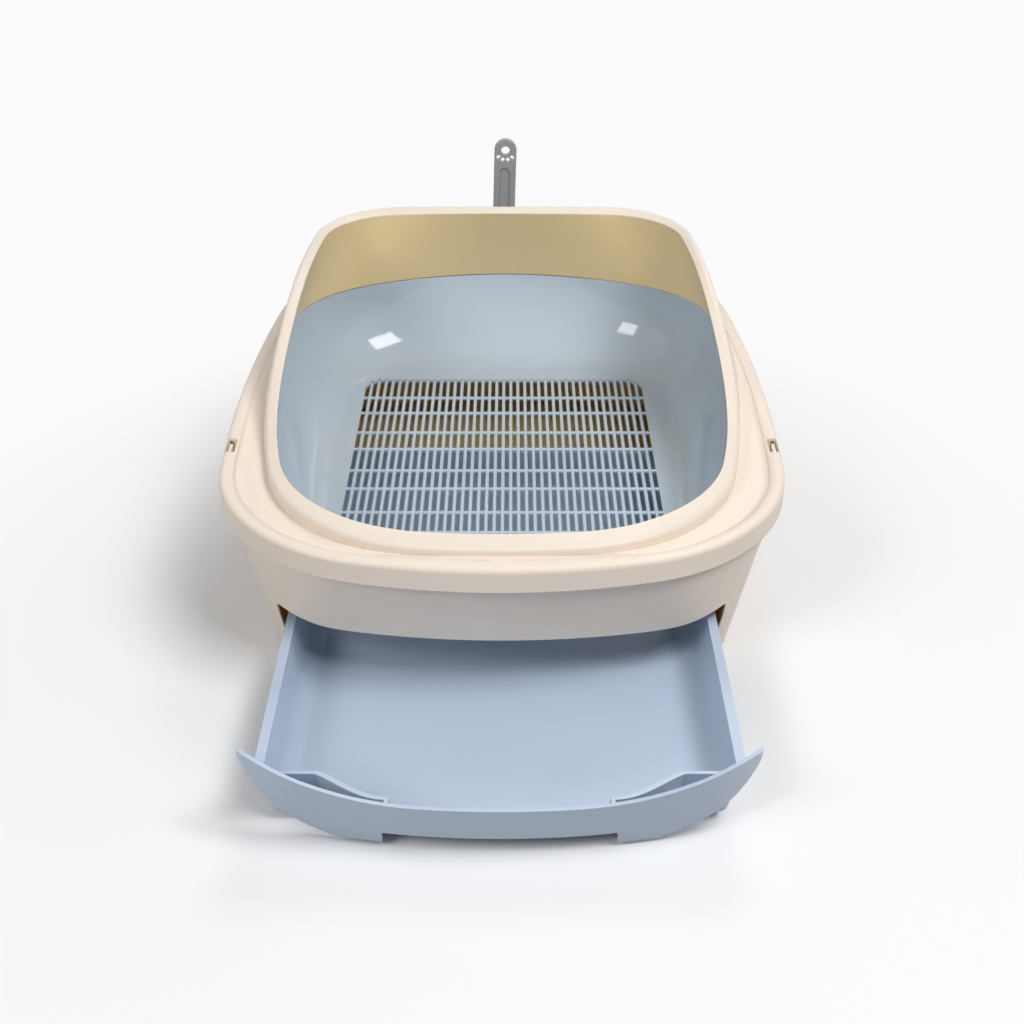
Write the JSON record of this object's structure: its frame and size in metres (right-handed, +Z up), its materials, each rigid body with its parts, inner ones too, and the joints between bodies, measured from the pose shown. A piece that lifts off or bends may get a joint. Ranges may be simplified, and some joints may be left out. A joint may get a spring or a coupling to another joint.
{
  "type": "sifting litter box",
  "caption": "Tapered litter tub with a lift-out sieve pan, a clip-on surround rising to a high back, a pull-out drawer under the grille and a slotted scoop held behind.",
  "frame": {"origin": "on the floor, under the middle of the tub, on the crossing of the ribs under its floor", "axes": "+X to the object's right seen from the drawer, +Y from the drawer to the high back, +Z up; the drawer pulls out along -Y"},
  "size_m": [0.4244, 0.6973, 0.2469],
  "materials": {
    "cream_shell": "satin moulded polypropylene, warm cream",
    "blue_grey_tray": "glossy moulded polypropylene, pale blue-grey",
    "grey_scoop": "satin moulded polypropylene, mid grey"
  },
  "bodies": {
    "base": {"base_tub": "cream_shell"},
    "drawer": {"drawer": "blue_grey_tray"},
    "pan": {"sieve_pan": "blue_grey_tray", "sieve_grille": "blue_grey_tray"},
    "surround": {"surround": "cream_shell", "scoop_holder": "cream_shell"},
    "scoop": {"scoop": "grey_scoop"}
  },
  "joints": [
    {"name": "drawer_slide", "type": "slide", "parent": "base", "child": "drawer", "axis": [0, -1, 0], "range_m": [-0.1645, 0.283]},
    {"name": "pan_lift", "type": "slide", "parent": "base", "child": "pan", "axis": [0, 0, 1], "range_m": [0, 0.15]},
    {"name": "surround_lift", "type": "slide", "parent": "pan", "child": "surround", "axis": [0, 0, 1], "range_m": [0, 0.15]},
    {"name": "scoop_lift", "type": "slide", "parent": "surround", "child": "scoop", "axis": [0, 0, 1], "range_m": [0, 0.12]}
  ]
}
